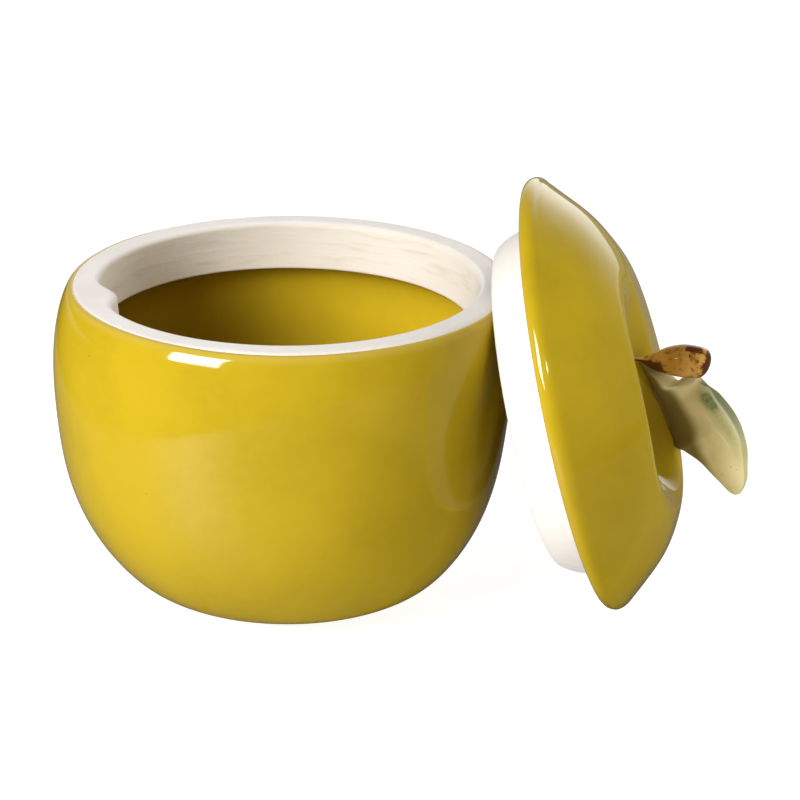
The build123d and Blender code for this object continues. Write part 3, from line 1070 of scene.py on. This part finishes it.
# %% Table
reach = 4
floor_corners = [(-reach, -reach, 0), (reach, -reach, 0), (reach, reach, 0), (-reach, reach, 0)]
floor_mesh = bpy.data.meshes.new("table_top")
floor_mesh.from_pydata(floor_corners, [], [(0, 1, 2, 3)])
floor = bpy.data.objects.new("table_top", floor_mesh)
bpy.context.scene.collection.objects.link(floor)

# %% What mirrored rays see of the table, in metres
edge_middle, edge_reach = (0.22, 0.06), (0.40, 0.44)
table_mirrored, past_edge = (0.18, 0.16, 0.1, 1), (0.03, 0.025, 0.01, 1)
painted_shadow_strip, field_pale = (0.01, 0.01, 0.01, 1), (0.6, 0.56, 0.45, 1)
table_white = bpy.data.materials.new("table_white")
table_white.use_nodes = True
tree = table_white.node_tree
tree.nodes.clear()
place = object_place(tree)
where = add_node(tree, "ShaderNodeVectorMath", operation="MULTIPLY_ADD")
feed(tree, where.inputs[0], place)
feed(tree, where.inputs[1], (1 / edge_reach[0], 1 / edge_reach[1], 0))
feed(tree, where.inputs[2], (-edge_middle[0] / edge_reach[0], -edge_middle[1] / edge_reach[1], 0))
away = add_node(tree, "ShaderNodeVectorMath", operation="LENGTH")
feed(tree, away.inputs[0], where.outputs["Vector"])
off_table = band(tree, away.outputs["Value"], 0.97, 1.05)
across = add_node(tree, "ShaderNodeSeparateXYZ")
feed(tree, across.inputs[0], place)
past_jar = band(tree, across.outputs["X"], 0.0, 0.06)
between = math_node(tree, "SUBTRACT", past_jar, band(tree, across.outputs["X"], 0.1, 0.14))
behind = band(tree, across.outputs["Y"], 0.3, 0.9)
reflected = blend_colour(tree, off_table, table_mirrored, past_edge)
# A painted shadow of jar and lid, as a dark strip on the table that mirrored rays see.
reflected = blend_colour(tree, between, reflected, painted_shadow_strip)
reflected = blend_colour(tree, behind, reflected, field_pale)

# %% The table's finish
table_grey, sheen_grey, no_sheen = (0.3, 0.3, 0.3, 1), (0.16, 0.16, 0.16, 1), (0, 0, 0, 1)
ray = add_node(tree, "ShaderNodeLightPath")
in_mirror = ray.outputs["Is Glossy Ray"]
matt = add_node(tree, "ShaderNodeBsdfDiffuse")
feed(tree, matt.inputs["Color"], blend_colour(tree, in_mirror, table_grey, reflected))
sheen = add_node(tree, "ShaderNodeBsdfGlossy", Roughness=0.5)
on_table = math_node(tree, "MULTIPLY", in_mirror, math_node(tree, "SUBTRACT", 1.0, off_table))
feed(tree, sheen.inputs["Color"], blend_colour(tree, on_table, no_sheen, sheen_grey))
# The table glows: white for the camera, and for diffuse rays a glow that lights the pot from below like a
# lamp.
table_glow = add_node(tree, "ShaderNodeEmission", Color=(1, 1, 1, 1))
for_camera = math_node(tree, "MULTIPLY", ray.outputs["Is Camera Ray"], 0.9)
for_diffuse = math_node(tree, "MULTIPLY", ray.outputs["Is Diffuse Ray"], 0.64)
feed(tree, table_glow.inputs["Strength"], math_node(tree, "ADD", for_camera, for_diffuse))
coats = add_node(tree, "ShaderNodeAddShader")
tree.links.new(matt.outputs[0], coats.inputs[0])
tree.links.new(sheen.outputs[0], coats.inputs[1])
both = add_node(tree, "ShaderNodeAddShader")
tree.links.new(coats.outputs[0], both.inputs[0])
tree.links.new(table_glow.outputs[0], both.inputs[1])
tree.links.new(both.outputs[0], add_node(tree, "ShaderNodeOutputMaterial").inputs["Surface"])
floor_mesh.materials.append(table_white)

# %% Lamp helper
def add_lamp(name, kind, power, aim, toward, distance):
    """A lamp at a distance from what it is aimed at, in metres and watts, linked to the scene."""
    lamp = bpy.data.objects.new(name, bpy.data.lights.new(name, kind))
    lamp.data.energy = power
    lamp.location = Vector(aim) + toward * distance
    lamp.rotation_euler = toward.to_track_quat("Z", "Y").to_euler()
    bpy.context.scene.collection.objects.link(lamp)
    return lamp


# %% Lamps
jar_middle, leaf_middle = (0, 0, 0.05), (0.105, -0.002, 0.048)
key = add_lamp("softbox", "AREA", 19.2, jar_middle, direction(-45, 27.3), 1.2)
key.data.shape = "RECTANGLE"
key.data.size = 0.54
key.data.size_y = 0.46
accent = add_lamp("leaf_spot", "SPOT", 14.0, leaf_middle, direction(30, 38), 0.8)
accent.data.spot_size = math.radians(7.5)
accent.data.spot_blend = 1.0
accent.data.shadow_soft_size = 0.06
accent.data.specular_factor = 0.0
print("softbox at", [round(v, 2) for v in key.location])
